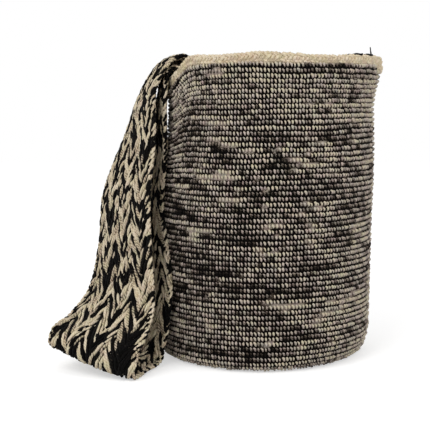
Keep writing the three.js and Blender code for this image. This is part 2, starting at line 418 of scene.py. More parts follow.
# The strap's route, one station a row
PLACES = (
    # Up the inside of the wall, over the drooping rim and down the outside
    (168, INSIDE_WALL, RIM_TOP - 58 * MM, -103, 0, 12),
    (168, INSIDE_RIM, RIM_TOP - 38 * MM, -103, 0, 12),
    (168, INSIDE_RIM, OVER_RIM - 10 * MM, -103, 0, 12),
    (168, INSIDE_RIM + 2 * MM, OVER_RIM - 3 * MM, -103, 0, 12),
    (169, -3 * MM, OVER_RIM, -102, 0, 11),
    (171, OUTSIDE_RIM + 0.6 * MM, OVER_RIM - 8 * MM, -98, 0, 9),
    (175, OUTSIDE_RIM + 5 * MM, RIM_TOP - 43 * MM, -86, 0, 5),
    (178.5, OUTSIDE_RIM + 6 * MM, RIM_TOP - 96 * MM, -73, 0, 2),
    (180, OUTSIDE_RIM + 7 * MM, BELLY_HEIGHT, -67, 0, 1, 190),
    (191, OUTSIDE_RIM + 7 * MM, 76 * MM, -60, 0, 1, 195),
    (195, OUTSIDE_RIM + 13 * MM, 50 * MM, -55, -1, 1, 200),
    (196.5, OUTSIDE_RIM + 20 * MM, 30 * MM, -50, -4, 1, 200),
    # The fold that stands on the floor
    (199.5, 38 * MM, ON_FLOOR + 11.4 * MM, -47, -8, 3, 215),
    (208, 68 * MM, ON_FLOOR + 10.9 * MM, -34, -13, 6, 215),
    (214, 95 * MM, ON_FLOOR + 12.7 * MM, -28, -15, 8, 215),
    (213.3, 92 * MM, ON_FLOOR + 26 * MM, -27, -12, 8, 215),
    (209.2, 68 * MM, 43 * MM, -33, -4, 4, 215),
    # Back up outside the first run and over the rim again
    (204.2, 48.5 * MM, 65 * MM, -45, -1, 2, 215),
    (198.8, 40 * MM, 108 * MM, -54, 0, 3, 205),
    (193.6, 36.5 * MM, RIM_TOP - 131 * MM, -58, -1, 3, 205),
    (186.3, 30.5 * MM, RIM_TOP - 81 * MM, -68, 0, 4, 195),
    (178.6, 27.5 * MM, RIM_TOP - 43 * MM, -79, 0, 6, 185),
    (175.7, 18.3 * MM, RIM_TOP - 20 * MM, -88, 0, 10, 172),
    (171.5, 7.5 * MM, RIM_TOP - 7 * MM, -95, 0, 11, 169),
    (167.3, -9 * MM, RIM_TOP - 1 * MM, -102, 0, 11),
    (164.6, -24.7 * MM, RIM_TOP - 6 * MM, -104, 0, 9),
    (163.2, -40 * MM, RIM_TOP - 24 * MM, -104, 0, 6),
    # Across the mouth, up beside the right wall and down to the end sewn inside it
    (167, -NECK_RADIUS * 0.63, RIM_TOP - 56 * MM, -106, 0, 2),
    (170, -NECK_RADIUS * 0.9, RIM_TOP - 80 * MM, -109, 0, 0),
    (-33, -NECK_RADIUS * 0.77, RIM_TOP - 82 * MM, -112, 0, 1),
    (-28, -NECK_RADIUS * 0.46, RIM_TOP - 64 * MM, -114, 0, 4),
    (-25, INSIDE_RIM - 18 * MM, RIM_TOP - 38 * MM, -115, 0, 8),
    (-25, INSIDE_RIM - 15.5 * MM, RIM_TOP - 22 * MM, -115, 0, 10),
    (-25, INSIDE_RIM - 8.5 * MM, RIM_TOP - 14.5 * MM, -115, 0, 11),
    (-25, INSIDE_RIM - 1.5 * MM, RIM_TOP - 22 * MM, -115, 0, 11),
    (-25, INSIDE_WALL, RIM_TOP - 54 * MM, -115, 0, 11),
)
ROUTE = [station(*place) for place in PLACES]


class StrapRoute:
    """The strap's route, measured once so that shares of its length can be looked up."""

    DIVISIONS = 1600

    def __init__(self, stations):
        self.middles, self.acrosses, self.bows = zip(*stations)
        self.lengths = [0.0]
        last = self.middles[0]
        for i in range(1, self.DIVISIONS + 1):
            point = vector_at(self.middles, i / self.DIVISIONS, True)
            self.lengths.append(self.lengths[-1] + (point - last).length)
            last = point
        self.length = self.lengths[-1]
        self.sections = [self.section(i / self.DIVISIONS) for i in range(self.DIVISIONS + 1)]

    def section(self, share):
        """The middle, the way across, the bow and the way along at a share of the length."""
        wanted = share * self.length
        low = min(self.DIVISIONS, bisect_right(self.lengths, wanted)) - 1
        step = max(1e-12, self.lengths[low + 1] - self.lengths[low])
        at = (low + min(1.0, (wanted - self.lengths[low]) / step)) / self.DIVISIONS
        near = 0.0004
        ahead = vector_at(self.middles, min(1, at + near), True)
        along = ahead - vector_at(self.middles, max(0, at - near), True)
        along.normalize()
        across = vector_at(self.acrosses, at, False)
        across = (across - along * 0.5 * across.dot(along)).normalized()
        return vector_at(self.middles, at, True), across, vector_at(self.bows, at, False), along

    def point(self, share, side, above):
        """A point of the band: side is from -1 to 1 across it, and above is from its middle layer."""
        place = min(1.0, max(0.0, share)) * self.DIVISIONS
        index = min(int(place), self.DIVISIONS - 1)
        part = place - index
        low = self.sections[index]
        high = self.sections[index + 1]
        middle, across, bow, along = (a.lerp(b, part) for a, b in zip(low, high))
        slope = across * (STRAP_WIDTH / 2) - bow * 2 * side
        face = slope.cross(along).normalized()
        return middle + across * (side * STRAP_WIDTH / 2) + bow * (1 - side * side) + face * above


# Meshes

def placed(name, data):
    """A new object in the scene."""
    thing = bpy.data.objects.new(name, data)
    bpy.context.scene.collection.objects.link(thing)
    return thing


def mesh_object(name, points, faces):
    mesh = bpy.data.meshes.new(name)
    mesh.from_pydata([tuple(point) for point in points], [], faces)
    mesh.validate()
    return placed(name, mesh)


def set_values(mesh, name, values):
    """Keeps a value for each point of a mesh under a name."""
    mesh.attributes.new(name, "FLOAT", "POINT").data.foreach_set("value", values)


def cloth_piece(name, points, faces, tones, material, mend=False):
    """A smooth piece of cloth with a tone at each point. Mending turns all of its faces outwards."""
    piece = mesh_object(name, points, faces)
    mesh = piece.data
    if mend:
        outward(mesh)
    set_values(mesh, "tone", tones)
    mesh.polygons.foreach_set("use_smooth", [True] * len(mesh.polygons))
    mesh.update()
    mesh.materials.append(material)
    return piece


def outward(mesh):
    work = bmesh.new()
    work.from_mesh(mesh)
    bmesh.ops.recalc_face_normals(work, faces=work.faces)
    work.to_mesh(mesh)
    work.free()


def ring_faces(rings, around):
    """Faces between rings of points, each ring closed on itself and the rings in order."""
    faces = []
    for i in range(rings - 1):
        for j in range(around):
            here = i * around + j
            beside = i * around + (j + 1) % around
            faces.append((here, beside, beside + around, here + around))
    return faces


def add_node(tree, kind, inputs=None, **settings):
    """Adds a node, sets its settings and links or fills its inputs by name or number."""
    node = tree.nodes.new(kind)
    for name, value in settings.items():
        setattr(node, name, value)
    for key, value in (inputs or {}).items():
        if isinstance(value, bpy.types.NodeSocket):
            tree.links.new(value, node.inputs[key])
        else:
            node.inputs[key].default_value = value
    return node


def empty_tree(owner):
    """The node tree of a material or a world, cleared."""
    owner.use_nodes = True
    owner.node_tree.nodes.clear()
    return owner.node_tree


def math_result(tree, operation, *values):
    """The result of a math node for the values, which are numbers or sockets."""
    return add_node(tree, "ShaderNodeMath", dict(enumerate(values)), operation=operation).outputs["Value"]


def attribute(tree, name):
    return add_node(tree, "ShaderNodeAttribute", attribute_name=name).outputs["Fac"]


def noise(tree, place, size, detail, roughness):
    """Noise over the object whose clumps are about as wide as the size."""
    return add_node(
        tree, "ShaderNodeTexNoise",
        {"Vector": place.outputs["Object"], "Scale": 1 / size, "Detail": detail, "Roughness": roughness})


def store(tree, curve, name, value):
    """Keeps a value on a curve under a name, and gives the curve."""
    return add_node(
        tree, "GeometryNodeStoreNamedAttribute",
        {"Geometry": curve, "Name": name, "Value": value}, data_type="FLOAT").outputs["Geometry"]


def yarn_tree():
    """Geometry nodes that turn each short path of points into a length of yarn with closed ends."""
    tree = bpy.data.node_groups.new("yarn_from_paths", "GeometryNodeTree")
    taken = {"Paths": "Geometry", "Yarn Radius": "Float", "Sides": "Int", "Yarn": "Material"}
    for name, kind in taken.items():
        tree.interface.new_socket(name, in_out="INPUT", socket_type="NodeSocket" + kind)
    tree.interface.new_socket("Stitches", in_out="OUTPUT", socket_type="NodeSocketGeometry")
    given = add_node(tree, "NodeGroupInput")
    paths = add_node(tree, "GeometryNodeMeshToCurve", {"Mesh": given.outputs["Paths"]})
    swelling = add_node(tree, "GeometryNodeInputNamedAttribute", {"Name": "swelling"}, data_type="FLOAT")
    radius = math_result(tree, "MULTIPLY", swelling.outputs["Attribute"], given.outputs["Yarn Radius"])
    place = add_node(tree, "GeometryNodeSplineParameter")
    measured = store(tree, paths.outputs["Curve"], "along", place.outputs["Length"])
    section = add_node(
        tree, "GeometryNodeCurvePrimitiveCircle", {"Resolution": given.outputs["Sides"], "Radius": 1.0})
    turn = math_result(tree, "MULTIPLY", place.outputs["Factor"], 2 * math.pi)
    profile = section.outputs["Curve"]
    for name, operation in (("turn_cosine", "COSINE"), ("turn_sine", "SINE")):
        profile = store(tree, profile, name, math_result(tree, operation, turn))
    skin = add_node(
        tree, "GeometryNodeCurveToMesh",
        {"Curve": measured, "Profile Curve": profile, "Scale": radius, "Fill Caps": True})
    smooth = add_node(tree, "GeometryNodeSetShadeSmooth", {"Geometry": skin.outputs["Mesh"]})
    realized = add_node(tree, "GeometryNodeRealizeInstances", {"Geometry": smooth.outputs["Geometry"]})
    spun = add_node(
        tree, "GeometryNodeSetMaterial",
        {"Geometry": realized.outputs["Geometry"], "Material": given.outputs["Yarn"]})
    add_node(tree, "NodeGroupOutput", {"Stitches": spun.outputs["Geometry"]})
    return tree


def yarn_piece(name, strands, radius, sides, material):
    """Makes one piece from strands, each a list of (point, swelling, tone)."""
    points, swellings, tones = zip(*(place for strand in strands for place in strand))
    edges = []
    start = 0
    for strand in strands:
        edges.extend((start + i, start + i + 1) for i in range(len(strand) - 1))
        start += len(strand)
    mesh = bpy.data.meshes.new(name + "_paths")
    mesh.from_pydata([tuple(point) for point in points], edges, [])
    set_values(mesh, "tone", tones)
    set_values(mesh, "swelling", swellings)
    paths = placed(name + "_paths", mesh)
    tree = bpy.data.node_groups.get("yarn_from_paths") or yarn_tree()
    modifier = paths.modifiers.new("Yarn", "NODES")
    modifier.node_group = tree
    wanted = {"Yarn Radius": radius, "Sides": sides, "Yarn": material}
    for item in tree.interface.items_tree:
        if item.item_type == "SOCKET" and item.in_out == "INPUT" and item.name in wanted:
            modifier[item.identifier] = wanted[item.name]
    evaluated = paths.evaluated_get(bpy.context.evaluated_depsgraph_get())
    spun = bpy.data.meshes.new_from_object(evaluated)
    spun.name = name
    piece = placed(name, spun)
    bpy.data.objects.remove(paths)
    if not spun.materials:
        spun.materials.append(material)
    return piece


# Materials

def linear(hex_colour):
    """Turns an sRGB hex colour into the linear values that a shader wants."""
    channels = [int(hex_colour[i:i + 2], 16) / 255 for i in (1, 3, 5)]
    return tuple(c / 12.92 if c <= 0.04045 else ((c + 0.055) / 1.055) ** 2.4 for c in channels) + (1.0,)


def ply_wave(tree, plies, lay):
    """A wave that winds round the yarn as its plies do, once for each ply in every length of lay."""
    turn = math_result(tree, "ARCTAN2", attribute(tree, "turn_sine"), attribute(tree, "turn_cosine"))
    wound = math_result(tree, "MULTIPLY", attribute(tree, "along"), 2 * math.pi * plies / lay)
    return math_result(tree, "SINE", math_result(tree, "MULTIPLY_ADD", turn, plies, wound))


def yarn_material(name, stops, fibre_mm, marl, ply_shade, lay, bump):
    """Dull spun yarn. Its tone attribute picks a colour, and plies and fine noise break that up."""
    material = bpy.data.materials.new(name)
    tree = empty_tree(material)
    place = add_node(tree, "ShaderNodeTexCoord")
    plies = ply_wave(tree, 2, lay)
    clumps = noise(tree, place, fibre_mm * 2.4 * MM, 1.5, 0.6)
    fibres = noise(tree, place, fibre_mm * MM, 3.0, 0.7)
    tint = noise(tree, place, TINT_SIZE, 1.0, 0.6)
    centred = math_result(tree, "SUBTRACT", clumps.outputs["Fac"], 0.5)
    marled = math_result(tree, "MULTIPLY_ADD", centred, marl, attribute(tree, "tone"))
    # The ply wave shifts the tone: in marled yarn that is the colour of its two plies, in single-coloured
    # yarn it is painted shade in the grooves between the plies
    shifted = math_result(tree, "MULTIPLY_ADD", plies, ply_shade, marled)
    colours = add_node(tree, "ShaderNodeValToRGB", {"Fac": shifted})
    ramp = colours.color_ramp
    while len(ramp.elements) < len(stops):
        ramp.elements.new(0.5)
    for element, (position, colour) in zip(ramp.elements, stops):
        element.position = position
        element.color = linear(colour) if isinstance(colour, str) else colour
    # The mix's inputs for colours, by number, because its other kinds of input have the same names
    factor, first, second = 0, 6, 7
    tinted = add_node(
        tree, "ShaderNodeMix",
        {factor: TINT_STRENGTH, first: colours.outputs["Color"], second: tint.outputs["Color"]},
        data_type="RGBA", blend_type="OVERLAY")
    height = math_result(tree, "MULTIPLY_ADD", plies, 0.4, fibres.outputs["Fac"])
    relief = add_node(
        tree, "ShaderNodeBump", {"Height": height, "Strength": bump, "Distance": 0.4 * MM})
    shader = add_node(
        tree, "ShaderNodeBsdfPrincipled",
        {"Base Color": tinted.outputs[2], "Normal": relief.outputs["Normal"], "Roughness": 0.92,
         "Sheen Weight": 0.03, "Sheen Roughness": 0.5, "Specular IOR Level": 0.08})
    add_node(tree, "ShaderNodeOutputMaterial", {"Surface": shader.outputs["BSDF"]})
    return material


def marled_wool(yarn):
    """Two-ply wool, one ply black and one ecru: streaks of either colour and a grey marl between."""
    return yarn_material(
        "marled_wool",
        [(0.0, BLACK_YARN), (0.25, yarn.dark), (0.4, MARL_MID), (0.6, GREY_MARL), (0.8, GREY_ECRU),
         (1.0, yarn.light)],
        fibre_mm=0.4, marl=0.4, ply_shade=0.08, lay=5 * MM, bump=0.5)


def ecru_wool(yarn):
    """Undyed ecru wool of the edging, warm and even."""
    return yarn_material(
        "ecru_wool",
        [(0.0, EDGING_SHADE), (0.3, EDGING_MIDDLE), (0.6, yarn.colour), (1.0, EDGING_LIGHT)],
        fibre_mm=0.5, marl=0.3, ply_shade=0.08, lay=5 * MM, bump=0.5)


def strap_wool(yarn):
    """Thick soft wool of the strap, in separate black and ecru strands."""
    return yarn_material(
        "strap_wool",
        [(0.0, BLACK_YARN), (0.34, yarn.dark), (0.5, ECRU_SHADE), (0.62, yarn.light), (1.0, ECRU_LIGHT)],
        fibre_mm=0.5, marl=0.34, ply_shade=0.13, lay=6 * MM, bump=0.7)


def black_thread(thread):
    """Waxed black sewing thread, a little smoother than the wool."""
    return yarn_material(
        "black_thread", [(0.0, thread.colour), (1.0, THREAD_LIGHT)],
        fibre_mm=0.4, marl=0.3, ply_shade=0.1, lay=4 * MM, bump=0.3)


def once(name, make, settings):
    """The material of that name, made the first time it is asked for."""
    return bpy.data.materials.get(name) or make(settings)


# The body

COURSES = round(CLOTH_LENGTH / COURSE_HEIGHT)
COURSE = CLOTH_LENGTH / COURSES


def stitches_in(course):
    """Whole stitches in a round of the spiral, from the start in the middle of the base outwards."""
    radius = cloth_section(course * COURSE, 0)[0]
    return min(STITCHES_AROUND, max(FEWEST_STITCHES, round(2 * math.pi * radius / STITCH_WIDTH)))


STITCHES_BEFORE = [0]
for done in range(COURSES + 2):
    STITCHES_BEFORE.append(STITCHES_BEFORE[-1] + stitches_in(done))


def yarn_tone(course, share):
    """Tone of the marled yarn at a share of a round of the spiral, with painted shade behind the strap, and
    how far it is bare ecru there.
    """
    place = STITCHES_BEFORE[course] + share * stitches_in(course)
    short_run = run_of_yarn(place / SHORT_RUN, 1) - 0.5
    long_run = run_of_yarn(place / LONG_RUN, 3) - 0.5
    patch = patch_of_yarn(share * 20, course / 2, 2)
    ecru_run = run_of_yarn(place / ECRU_RUN, 4) + 0.5 * patch_of_yarn(share * 12, course / 2.5, 14)
    leg_to_leg = uneven(math.floor(place * 2), 5)
    height = course * COURSE - FLAT_LENGTH
    raised = TOP_LIGHTER * smoothstep(height, *TOP_HEIGHTS)
    raised += FOOT_LIGHTER * (1 - smoothstep(height, *FOOT_HEIGHTS))
    # Painted shade on the body where the strap hangs over it
    raised -= PAINTED_STRAP_SHADE * swell(SPIRAL_START + 360 * share, *PAINTED_STRAP_SHADE_AT)
    tone = MIDDLE_TONE + raised + SHORT_CHANGE * short_run + LONG_CHANGE * long_run
    tone = tone + PATCH_CHANGE * patch + LEG_CHANGE * leg_to_leg
    bare = smoothstep(ecru_run, BARE_FROM - raised, BARE_WHOLE)
    return min(1.0, max(0.02, lerp(tone, 1.0, bare))), bare


def leg_path(distance, azimuth, leg_turn, lean, jitter, turned):
    """Path of one leg of a stitch, its foot on the right with painted shade, and its head hooked to the left
    with a faint painted highlight.
    """
    lean += LEAN_VARIES * turned
    under = BASE_LEGS_IN * (1 - smoothstep(distance, FLAT_LENGTH, FLAT_LENGTH + BEND_LENGTH))
    path = []
    for sideways, up, out, swelling, painted_shading in LEG_POINTS:
        path.append((
            cloth_point(
                distance + (up * (1 + HEIGHT_VARIES * turned) + UP_VARIES * jitter) * COURSE,
                azimuth + sideways * lean * leg_turn,
                (out + OUT_VARIES * jitter) * MM + pushed_out(distance, azimuth) - under),
            swelling * (1 + THICKNESS_VARIES * jitter),
            painted_shading,
        ))
    return path


def overlap_at(azimuth):
    """How far at most the body's last courses stand up over the foot of the edging."""
    return (OVERLAP - OVERLAP_LOST * swell(azimuth, *RIGHT_OF_MOUTH)) * MM


def lifted_by(distance, azimuth):
    """How far the last courses are drawn up the cloth. They lie close, so it is less than 0."""
    changes = (lift * swell(azimuth, middle, spread) for middle, spread, lift in LIFT_CHANGES)
    return sum(changes, LAST_LIFT) * MM * smoothstep(distance, CLOTH_LENGTH - LIFT_REACH, CLOTH_LENGTH)


def pushed_out(distance, azimuth):
    """How far the last courses lean out over the edging's foot."""
    reach = smoothstep(distance, CLOTH_LENGTH - LEAN_OUT_BEFORE, CLOTH_LENGTH + LEAN_OUT_AFTER)
    return LEAN_OUT * reach * (1 - swell(azimuth, *RIGHT_OF_MOUTH))


def top_of_courses(azimuth):
    """Distance along the cloth to the top of the last course of the spiral."""
    share = (azimuth - SPIRAL_START) % 360 / 360
    last = (COURSES + 0.7 + share) * COURSE
    return min(last + lifted_by(last, azimuth), CLOTH_LENGTH + overlap_at(azimuth))


def body_strands(first_distance, last_distance):
    """Legs of every stitch whose course lies between two distances along the cloth."""
    strands = []
    head_up = LEG_POINTS[-1][1]
    for course in range(1, COURSES + 2):
        if not first_distance <= course * COURSE < last_distance:
            continue
        legs = 2 * stitches_in(course)
        for leg in range(legs):
            jitter = uneven(course, leg, 7)
            turned = uneven(course, leg, 8)
            share = (leg + 0.5 + SPACING_VARIES * turned) / legs
            distance = (course + share - 0.5) * COURSE
            distance += COURSES_WANDER * COURSE * patch_of_yarn(share * 16, course / 4, 9)
            azimuth = SPIRAL_START + 360 * share + COURSE_TURN * course
            distance += lifted_by(distance, azimuth)
            if distance + head_up * COURSE > CLOTH_LENGTH + overlap_at(azimuth) + UNEVEN_TOP * jitter:
                continue
            path = leg_path(distance, azimuth, 360 / legs, LEG_LEANS[leg % 2], jitter, turned)
            tone = yarn_tone(course, share)[0]
            # Each leg's tone carries painted shade at its foot and a faint painted highlight at its head
            strands.append([
                (point, swelling, max(0.02, tone + painted_shading)) for point, swelling, painted_shading in path])
    return strands


def body_ground_piece(name, material):
    """The cloth behind the stitches: its outside in the gaps, its rim, and the wrong side within. The outside
    and the rim are near black, partly the black ply and partly painted shade.
    """
    around = 2 * STITCHES_AROUND
    outside_steps = 2 * COURSES
    inside_steps = 3 * COURSES
    bar_relief = 0.9 * MM
    leg_relief = 0.35 * MM
    points = []
    tones = []

    def azimuth_of(j):
        return SPIRAL_START + 360 * j / around

    def add_ring(distance, out_at, tone_at):
        for j in range(around):
            points.append(cloth_point(distance, azimuth_of(j), out_at(distance, j)))
            tones.append(tone_at(distance, j / around))

    def gap_tone_with_painted_shade(distance, share):
        course = max(0, round(distance / COURSE - share + 0.5))
        tone, bare = yarn_tone(course, share)
        # Near black in the gaps, partly the black ply and partly painted shade between the stitches, with
        # bare ecru showing
        return 0.08 * tone + 0.55 * bare

    for i in range(1, outside_steps + 1):
        add_ring(
            CLOTH_LENGTH * i / outside_steps,
            lambda distance, j: -GROUND_DEPTH + pushed_out(distance, azimuth_of(j)),
            gap_tone_with_painted_shade)
    for share in (0.3, 0.6, 0.9):
        for j in range(around):
            azimuth = azimuth_of(j)
            distance = lerp(CLOTH_LENGTH, top_of_courses(azimuth), share)
            out = -MOUTH_GROUND_DEPTH + pushed_out(distance, azimuth)
            points.append(cloth_point(distance, azimuth, out))
            # The rim behind the last courses is painted almost black: partly the black ply, partly painted
            # shade
            tones.append(0.05)
    for i in range(inside_steps, 2, -1):
        bar = 0.5 - 0.5 * math.cos(2 * math.pi * i / 3)
        bar_depth = -WALL_THICKNESS - 0.2 * MM - bar_relief * (bar - 0.5)
        add_ring(
            CLOTH_LENGTH * i / inside_steps,
            lambda distance, j: bar_depth + leg_relief * (j % 2) * (1 - bar),
            lambda distance, share: yarn_tone(round(distance / COURSE), share)[0] * (1.1 - 0.8 * bar))
    rings = len(points) // around
    faces = ring_faces(rings, around)
    for depth, tone in ((GROUND_DEPTH, 0.2), (WALL_THICKNESS, 0.4)):
        points.append(cloth_point(0, 0, -depth))
        tones.append(tone)
    outer_pole = len(points) - 2
    inner_pole = len(points) - 1
    last = (rings - 1) * around
    for j in range(around):
        faces.append((outer_pole, (j + 1) % around, j))
        faces.append((inner_pole, last + j, last + (j + 1) % around))
    return cloth_piece(name, points, faces, tones, material)


# The edging

def edging_rise(azimuth):
    swells = (height * swell(azimuth, middle, spread) for middle, spread, height in EDGING_SWELLS)
    return EDGING_LEVEL + sum(swells)


def edging_point(turned, azimuth, offset):
    """A point of the edging: turned is 0 out of the bag and 90 upwards."""
    middle = NECK_RADIUS + EDGING_OVERHANG - EDGING_WIDTH / 2
    across = math.cos(math.radians(turned))
    up = math.sin(math.radians(turned))
    bottom = BODY_HEIGHT + SEAT
    radius = middle + (EDGING_WIDTH / 2 + offset) * math.copysign(abs(across) ** 0.8, across)
    height = bottom + EDGING_HEIGHT / 2 + (EDGING_HEIGHT / 2 + offset) * up
    height += (height - bottom) / EDGING_HEIGHT * edging_rise(azimuth)
    if up < 0:
        height += EDGING_DROP * up * swell(azimuth, *EDGING_DROP_AT)
        radius -= EDGING_SPLAY * up * swell(azimuth, *EDGING_SPLAY_AT)
    return settle(radius, azimuth, height)


def edging_ground(name, material):
    """The close cloth behind the edging's loops, painted darker than the loops as shade in the gaps between
    them.
    """
    around = 288
    section = 20
    points = []
    for i in range(section):
        for j in range(around):
            points.append(edging_point(-90 + 360 * i / section, 360 * j / around, -EDGING_GROUND_DEPTH))
    faces = ring_faces(section, around)
    top = (section - 1) * around
    for j in range(around):
        faces.append((top + j, top + (j + 1) % around, (j + 1) % around, j))
    # A darker tone than the loops' own: painted shade in the gaps between the loops
    return cloth_piece(name, points, faces, [0.35] * len(points), material)


def edging_strands():
    """Slanting loops of the edging's yarn in uneven rows that follow its round section."""
    rows = 8
    loops = 160
    first_row = -76
    row_turn = 45
    loop_turn = 27
    loop_ends = -1.6
    loop_back = -1.15
    foot = -40
    foot_sinks = 1.1
    strands = []
    for row in range(rows):
        for loop in range(loops):
            jitter = uneven(row, loop, 11)
            turned_more = uneven(row, loop, 12)
            middle = first_row + row * row_turn + 16 * turned_more
            azimuth = 360 * (loop + 0.5 * (row % 2) + 0.5 * jitter) / loops
            tone = 0.55 + 0.5 * jitter + 0.4 * patch_of_yarn(loop / 6, row / 2, 13)
            strand = []
            for step, swelling in ((-1.0, 0.55), (-0.35, 1.0), (0.35, 1.05), (1.0, 0.6)):
                turned = middle + step * loop_turn
                sunk = foot_sinks * (1 - smoothstep(abs(turned - foot), 45, 75))
                offset = ((loop_ends if abs(step) > 0.9 else loop_back + 0.6 * jitter) - sunk) * MM
                slant = step * (1.3 + 0.9 * turned_more) * (1.0 if row % 2 else -0.7)
                strand.append((
                    edging_point(turned, azimuth - slant, offset),
                    swelling * (1 + 0.3 * jitter), tone))
            strands.append(strand)
    return strands


# The strap

def zigzag(value):
    """Triangle wave from 0 to 1 that turns at every whole number."""
    share = value % 2
    return share if share < 1 else 2 - share


def strand_tone(lane, step, face):
    """Black or ecru for a strand, by its lane across the strap and its step along it."""
    group = (lane + 3) // 6
    place = step + 3 * group + (2 if face < 0 else 0)
    ecru = 0.03 + 0.42 * ECRU_ORDER[place % len(ECRU_ORDER)]
    ecru += 0.6 * patch_of_yarn(lane / 3, step / 2, 67 + face) + 0.8 * uneven(lane, step, 21 + face)
    for middle, spread, change in SHADED_STEPS:
        ecru += change * math.exp(-(((step - middle) / spread) ** 2))
    shade = scattered(lane, step, 23 + face)
    return 0.54 + 0.42 * shade if ecru > ECRU_FROM else 0.02 + 0.2 * shade


def above_floor(point):
    """The point, raised if its strand would reach under the floor."""
    point.z = max(point.z, STRAND_ON_FLOOR)
    return point


def strap_strand(route, face, places, sides, alongs, jitter, tone):
    """One strand on a face of the strap, from side to side and along between two pairs of places."""
    strand = []
    for share, lift, swelling in places:
        side = min(FURTHEST_SIDE, max(-FURTHEST_SIDE, lerp(*sides, share)))
        along = lerp(*alongs, share) / route.length
        if along < 0.002 or along > 0.998:
            break
        above = HALF_STRAP - STRAND_DEPTH + (lift + 0.6 * jitter) * MM - 0.9 * MM * side ** 8
        point = above_floor(route.point(along, side, face * above))
        strand.append((point, swelling * (1 + 0.3 * jitter), tone))
    return strand


def strap_strands(route, face):
    """Slanting strands of one face of the strap, laid in zigzags across its width."""
    lane_side = 2 / STRAP_LANES
    steps = int(route.length / STRAND_SPACING) + 6
    strands = []
    for lane in range(STRAP_LANES):
        low = zigzag(lane / HALF_ZIGZAG) * HALF_ZIGZAG * LANE_LEAN
        high = zigzag((lane + 1) / HALF_ZIGZAG) * HALF_ZIGZAG * LANE_LEAN
        for step in range(-5, steps):
            jitter = uneven(lane, step, 31 + face)
            slip = uneven(lane, step, 33 + face)
            first_side = -1 + lane_side * (lane + 0.4 * slip)
            sides = (first_side, first_side + lane_side)
            start = step * STRAND_SPACING + 2.5 * MM * jitter
            alongs = (start + low, start + high)
            tone = strand_tone(lane, step, face)
            strand = strap_strand(route, face, WOVEN_STRAND, sides, alongs, jitter, tone)
            if len(strand) > 2:
                strands.append(strand)
    for i in range(FLOATING_STRANDS):
        side, along, slant, shade = (scattered(i, 35 + face, key) for key in range(4))
        first_side = -0.9 + 1.5 * side
        sides = (first_side, first_side + FLOAT_SIDE)
        start = along * route.length
        reach = (22 * MM + 10 * MM * shade) * (1 if slant > 0.5 else -1)
        alongs = (start, start + reach)
        tone = 0.6 + 0.34 * shade if i % 2 else 0.1
        strand = strap_strand(route, face, FLOATING_STRAND, sides, alongs, shade - 0.9, tone)
        if len(strand) == len(FLOATING_STRAND):
            strands.append(strand)
    return strands


def strap_edge_strands(route):
    """Yarn turning round both edges of the strap."""
    strands = []
    for edge in (-1, 1):
        for step in range(int(route.length / EDGE_SPACING)):
            start = (step + 0.3) * EDGE_SPACING
            tone = strand_tone(step % 3, step // 2, edge)
            strand = []
            for along, side, above, swelling in EDGE_TURN:
                share = (start + along * MM) / route.length
                if share < 0.998:
                    point = above_floor(route.point(share, edge * side, above * MM))
                    strand.append((point, swelling, tone))
            if len(strand) > 2:
                strands.append(strand)
    return strands


def strap_ground_piece(name, route, material):
    """The close cloth that the strap's strands lie on, near black: partly its black yarn and partly painted
    shade in the gaps between the strands.
    """
    length_steps = 420
    half = [-0.97, -0.75, -0.5, -0.25, 0, 0.25, 0.5, 0.75, 0.97]
    loop = [(side, 1) for side in half] + [(side, -1) for side in reversed(half)]
    points = []
    for i in range(length_steps + 1):
        for side, face in loop:
            above = face * (HALF_STRAP - STRAP_GROUND_DEPTH * (1 + 0.3 * abs(side) ** 6))
            points.append(route.point(i / length_steps, side, above))
    around = len(loop)
    faces = ring_faces(length_steps + 1, around)
    faces.append(tuple(range(around)))
    last = length_steps * around
    faces.append(tuple(last + around - 1 - j for j in range(around)))
    # Near black: partly the strap's black yarn, partly painted shade in the gaps between strands
    return cloth_piece(name, points, faces, [0.06] * len(points), material, mend=True)


# The sewing thread

def rim_stitch_points():
    """Two turns of thread over the edging, and its loose end standing up."""
    stitches = 2
    first_azimuth = -28
    pitch = 10
    reach_inside = 62
    reach_outside = 25
    places = 12
    points = []
    for i in range(stitches * places + 1):
        swing = math.sin(2 * math.pi * i / places)
        turned = 90 - swing * (reach_outside if swing > 0 else reach_inside)
        azimuth = first_azimuth - pitch * i / places
        points.append(edging_point(turned, azimuth, 0))
    tip = points[0] + Vector((-THREAD_DIAMETER / 2, 0, THREAD_TAIL_SHARE * THREAD_TAIL))
    return [tip] + points


def end_stitch_points(route, share_from, share_to):
    """Thread to and fro between two rows of holes across the strap's end."""
    points = []
    stitches = 7
    for i in range(stitches + 1):
        side = lerp(-0.8, 0.8, i / stitches)
        share = share_from if i % 2 == 0 else share_to
        points.append(route.point(share, side, -(HALF_STRAP + 2 * SEAT + THREAD_DIAMETER / 2)))
    return points


def thread_strand(points, steps):
    """One smooth strand through the points, tapering at both ends."""
    strand = []
    for i in range(steps + 1):
        share = i / steps
        swelling = min(1.0, 0.45 + 12 * min(share, 1 - share))
        twist = 0.06 * math.sin(i * 2.1)
        tone = 0.4 + 0.4 * scattered(i, 41)
        strand.append((vector_at(points, share, True), swelling * (1 + twist), tone))
    return strand


# What a user can change

class MochilaBody(bpy.types.PropertyGroup):
    """Yarn of the crocheted body"""

    yarn_radius: bpy.props.FloatProperty(
        name="Yarn Radius", description="Radius of one leg of a stitch", default=0.98 * MM, unit="LENGTH")
    sides: bpy.props.IntProperty(
        name="Sides", description="Sides of the yarn's section", default=YARN_SIDES, min=3)
    dark: bpy.props.FloatVectorProperty(
        name="Dark", description="Colour of dark yarn", default=linear(BLACK_BROWN), size=4, subtype="COLOR")
    light: bpy.props.FloatVectorProperty(
        name="Light", description="Colour of bare yarn", default=linear(BARE_ECRU), size=4, subtype="COLOR")


